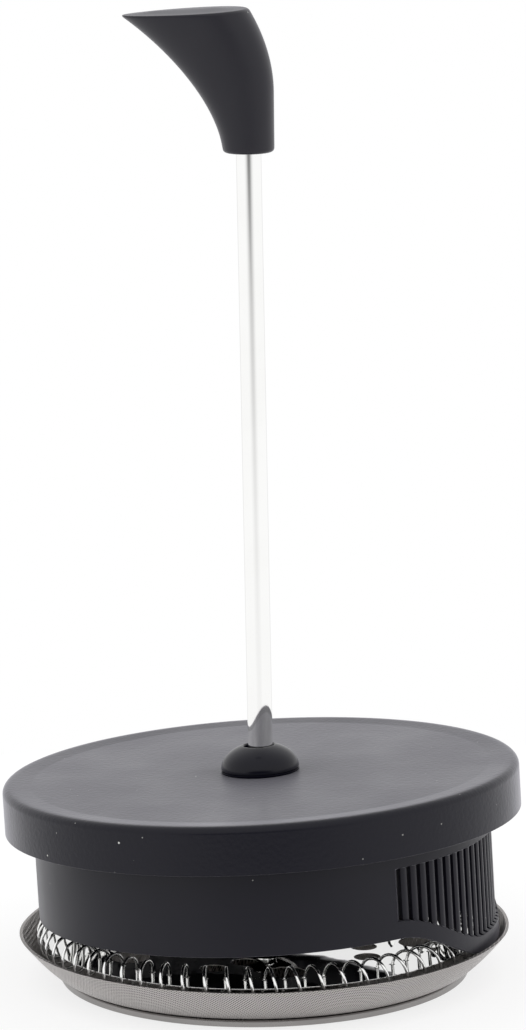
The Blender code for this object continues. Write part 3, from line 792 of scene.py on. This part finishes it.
def make_plate(material):
    """Mirror-bright disc, pierced for the coil, the coffee and the rod."""
    curve = bpy.data.curves.new("plate_outline", "CURVE")
    curve.dimensions = "2D"
    curve.fill_mode = "BOTH"
    curve.extrude = (PLATE_THICKNESS / 2 - PLATE_EDGE_ROUND) * MM
    curve.bevel_depth = PLATE_EDGE_ROUND * MM
    curve.bevel_resolution = 1

    def circle(x, y, radius, sides):
        spline = curve.splines.new("POLY")
        spline.points.add(sides - 1)
        spline.use_cyclic_u = True
        for index, point in enumerate(spline.points):
            angle = 2 * math.pi * index / sides
            dx, dy, _ = around(radius, angle, 0)
            point.co = (x * MM + dx, y * MM + dy, 0, 1)

    def ring(count, radius, azimuth=0.0):
        for index in range(count):
            angle = math.radians(azimuth) + 2 * math.pi * index / count
            yield radius * math.sin(angle), -radius * math.cos(angle)

    circle(0, 0, PLATE_RADIUS - PLATE_EDGE_ROUND, 240)
    circle(0, 0, BORE_RADIUS + PLATE_EDGE_ROUND, 32)
    for x, y in ring(COIL_TURNS, COIL_RING_RADIUS - COIL_LOOP_RADIUS):
        circle(x, y, PLATE_COIL_HOLE, 14)
    for hole_ring, radius, azimuth in PLATE_HOLES:
        for x, y in ring(PLATE_HOLE_REPEATS, hole_ring, azimuth):
            circle(x, y, radius + PLATE_EDGE_ROUND, 48)
    source = bpy.data.objects.new("plate_outline", curve)
    bpy.context.scene.collection.objects.link(source)
    bpy.context.view_layer.update()
    graph = bpy.context.evaluated_depsgraph_get()
    mesh = bpy.data.meshes.new_from_object(source.evaluated_get(graph))
    bpy.data.objects.remove(source)
    bm = bmesh.new()
    bm.from_mesh(mesh)
    bmesh.ops.remove_doubles(bm, verts=bm.verts, dist=0.000002)
    middle_z = PLATE_TOP_Z - PLATE_THICKNESS / 2
    bmesh.ops.translate(bm, verts=bm.verts, vec=(0, 0, middle_z * MM))
    finish_mesh("plate", bm, material, "plunger", ["spiral_plate"], sharp=10.0)


def make_screen(material):
    """Wire cloth: flat over the base, drawn up over the boss, and flared out to its cut edge."""
    floor = MESH_FLOOR_Z
    sheet = MESH_SHEET
    outer, inner = [], []
    steps = 28
    for step in range(steps + 1):
        share = 1 - step / steps
        z = floor + (MESH_EDGE_Z - floor) * share
        r = CROSS_RADIUS + (FILTER_RADIUS - CROSS_RADIUS) * share ** MESH_FLARE_POWER
        outer.append((r, z))
        inner.append((r - sheet * 1.15, z + (sheet * 0.9 if step else 0.0)))
    under = [(BOSS_FOOT_RADIUS + 1.0, floor), (BOSS_FOOT_RADIUS + 0.4, floor + 0.25),
             (BOSS_TOP_RADIUS + 0.8, BOSS_TOP_Z + 0.1), (BOSS_TOP_RADIUS + 0.2, BOSS_TOP_Z + 0.3),
             (BORE_RADIUS, BOSS_TOP_Z + 0.3)]
    over = [(r + 0.1, z + sheet) for r, z in under[::-1]]

    def soft(angle, r, z):
        """Wire cloth is never quite round: the free edge waves by a few tenths."""
        free = max(0.0, (z - floor) / (MESH_EDGE_Z - floor)) * (r > CROSS_RADIUS - 1)
        wave = 0.0
        for count, phase, depth in ((3, 0.6, 0.12), (7, 2.0, 0.07), (13, 0.0, 0.04)):
            wave += math.sin(count * angle + phase) * depth
        return r - free * (0.2 + wave), z - free * (0.15 + 0.5 * wave)

    bm = bmesh.new()
    lathe(bm, outer + under + over + inner[::-1], 288, wobble=soft)
    finish_mesh("screen", bm, material, "plunger", ["mesh_screen"], sharp=50.0)


def make_base(material):
    """Pressed plate with a beaded rim, a raised middle and round holes."""
    top = CROSS_RIM_HEIGHT
    sheet = CROSS_SHEET
    low = top - sheet
    bm = bmesh.new()
    lathe(bm, fillet([
        (CROSS_RADIUS - 0.25, top, 0.2),
        (CROSS_RADIUS, top - 0.35, 0.2),
        (CROSS_RADIUS, 0.0, 0.25),
        (CROSS_RADIUS - sheet, 0.0, 0.25),
        (CROSS_RADIUS - sheet, low, 0.15),
        (BOSS_FOOT_RADIUS, low, 1.2),
        (BOSS_TOP_RADIUS, BOSS_TOP_Z - sheet, 1.0),
        (BORE_RADIUS, BOSS_TOP_Z - sheet, 0),
        (BORE_RADIUS, BOSS_TOP_Z, 0),
        (BOSS_TOP_RADIUS + 0.4, BOSS_TOP_Z, 1.0),
        (BOSS_FOOT_RADIUS + 0.4, top, 1.2),
    ]), 192)
    bmesh.ops.recalc_face_normals(bm, faces=bm.faces)
    whole = bpy.data.meshes.new("base_whole")
    bm.to_mesh(whole)
    bm.free()
    plate = bpy.data.objects.new("base_whole", whole)
    bpy.context.scene.collection.objects.link(plate)
    bm = bmesh.new()
    for index in range(CROSS_HOLE_COUNT):
        angle = 2 * math.pi * index / CROSS_HOLE_COUNT
        centre = around(CROSS_HOLE_RING, angle, top)
        bmesh.ops.create_cone(bm, cap_ends=True, segments=40, radius1=CROSS_HOLE_RADIUS * MM,
                              radius2=CROSS_HOLE_RADIUS * MM, depth=4 * MM,
                              matrix=Matrix.Translation(centre))
    mesh = bpy.data.meshes.new("base_holes")
    bm.to_mesh(mesh)
    bm.free()
    holes = bpy.data.objects.new("base_holes", mesh)
    bpy.context.scene.collection.objects.link(holes)
    cut = plate.modifiers.new("Holes", "BOOLEAN")
    cut.operation = "DIFFERENCE"
    cut.object = holes
    bpy.context.view_layer.update()
    graph = bpy.context.evaluated_depsgraph_get()
    bm = bmesh.new()
    bm.from_mesh(bpy.data.meshes.new_from_object(plate.evaluated_get(graph)))
    bpy.data.objects.remove(holes)
    bpy.data.objects.remove(plate)
    finish_mesh("base", bm, material, "plunger", ["cross_plate"])


def dress(node, material):
    """Give a carried-over CAD node its finish."""
    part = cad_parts[node]
    part.data.materials.clear()
    part.data.materials.append(material)
    part.data.shade_smooth()
    part.data.set_sharp_from_angle(angle=math.radians(30))


# Stage

def facing_level(tree, middle, narrowing, levels):
    """A level for each direction of the world, by how nearly it faces a middle direction.

    narrowing below one spreads the levels wider to the left and right.
    """
    coords = tree.nodes.new("ShaderNodeTexCoord")
    squeeze = tree.nodes.new("ShaderNodeVectorMath")
    squeeze.operation = "MULTIPLY"
    squeeze.inputs[1].default_value = (narrowing, 1.0, 1.0)
    unit = tree.nodes.new("ShaderNodeVectorMath")
    unit.operation = "NORMALIZE"
    facing = tree.nodes.new("ShaderNodeVectorMath")
    facing.operation = "DOT_PRODUCT"
    facing.inputs[1].default_value = Vector(middle).normalized()
    share = tree.nodes.new("ShaderNodeMapRange")
    share.inputs["From Min"].default_value = -1.0
    fade = tree.nodes.new("ShaderNodeValToRGB")
    stops = fade.color_ramp.elements
    for place, level in levels[1:-1]:
        stops.new(place)
    for stop, (place, level) in zip(stops, levels):
        stop.position = place
        stop.color = (level, level, level, 1.0)
    tree.links.new(coords.outputs["Generated"], squeeze.inputs[0])
    tree.links.new(squeeze.outputs["Vector"], unit.inputs[0])
    tree.links.new(unit.outputs["Vector"], facing.inputs[0])
    tree.links.new(facing.outputs["Value"], share.inputs["Value"])
    tree.links.new(share.outputs["Result"], fade.inputs["Fac"])
    return fade.outputs["Color"]


def make_stage():
    world = bpy.data.worlds.new("studio")
    bpy.context.scene.world = world
    world.use_nodes = True
    tree = world.node_tree
    backdrop = tree.nodes["Background"]
    room = tree.nodes.new("ShaderNodeBackground")
    behind = facing_level(tree, ROOM_FRONT, 1.0, ROOM_LEVELS)
    # An angle from the middle as a share of the way from behind to front: half of one
    # plus its cosine, which for these small angles is one less a quarter of its square
    stops = [(1.0 - math.radians(angle) ** 2 / 4, level) for angle, level in STAND_LEVELS[::-1]]
    stand = facing_level(tree, STAND_MIDDLE, STAND_NARROWING, stops)
    both = tree.nodes.new("ShaderNodeMath")
    both.operation = "MULTIPLY"
    tree.links.new(behind, both.inputs[0])
    tree.links.new(stand, both.inputs[1])
    tree.links.new(both.outputs[0], room.inputs["Color"])
    seen = tree.nodes.new("ShaderNodeLightPath")
    choose = tree.nodes.new("ShaderNodeMixShader")
    tree.links.new(seen.outputs["Is Camera Ray"], choose.inputs["Fac"])
    tree.links.new(room.outputs["Background"], choose.inputs[1])
    tree.links.new(backdrop.outputs["Background"], choose.inputs[2])
    tree.links.new(choose.outputs["Shader"], tree.nodes["World Output"].inputs["Surface"])
    backdrop.inputs["Color"].default_value = (1, 1, 1, 1)
    bpy.context.scene.view_settings.view_transform = "Standard"
    bm = bmesh.new()
    bmesh.ops.create_circle(bm, cap_ends=True, radius=FLOOR_RADIUS, segments=64)
    mesh = bpy.data.meshes.new("studio_floor")
    bm.to_mesh(mesh)
    bm.free()
    floor = bpy.data.objects.new("studio_floor", mesh)
    mesh.materials.append(floor_material())
    bpy.context.scene.collection.objects.link(floor)
    floor.location.z = cad_box[0][2] - FLOOR_DROP


def make_camera():
    forward = Vector((0.0, math.cos(VIEW_PITCH), -math.sin(VIEW_PITCH)))
    level = Vector((1.0, 0.0, 0.0))
    upward = level.cross(forward)
    right = math.cos(VIEW_ROLL) * level + math.sin(VIEW_ROLL) * upward
    up = right.cross(forward)
    camera = bpy.data.objects.new("camera", bpy.data.cameras.new("camera"))
    camera.data.lens = VIEW_LENS
    bpy.context.scene.collection.objects.link(camera)
    place = Matrix((right, up, -forward)).transposed().to_4x4()
    place.translation = (Vector(VIEW_TARGET) - forward * VIEW_DISTANCE) * MM
    camera.matrix_world = place
    bpy.context.scene.camera = camera


make_camera()
make_stage()

chrome = bright_steel("rod_chrome", 0.96, low=0.02, high=0.05, lines=(1, 1, 0.02),
                      scratch=0.0007)
wire = bright_steel("wire_bright", 0.92, low=0.04, high=0.1, lines=(1, 1, 1), scratch=0.001)
base_steel = satin_steel("base_satin")
brass = bright_brass("insert_brass")
make_cover(grained_plastic("cover_black", 0.004, 0.36, grain=0.003, dust=0.3, ior=1.33,
                           sheen=0.72, pebble=0.05))
make_skirt(grained_plastic("skirt_black", 0.007, 0.36, grain=0.002, dust=0.08, ior=1.33,
                           sheen=0.36))
make_dome(grained_plastic("dome_black", 0.002, 0.2, grain=0.001, ior=1.34))
make_rod(chrome)
make_knob(grained_plastic("knob_black", 0.016, 0.38, grain=0.002, dust=0.08, ior=1.36,
                          sheen=0.3))
make_coil(wire)
make_plate(leaning_mirror("plate_mirror"))
make_screen(woven_steel("wire_cloth"))
make_base(base_steel)
dress("clamp_washer", wire)
dress("hub_nut", base_steel)
dress("guide_clip", base_steel)
dress("guide_bush", grained_plastic("bush_white", 0.62, 0.45, grain=0.002))
dress("knob_insert", brass)
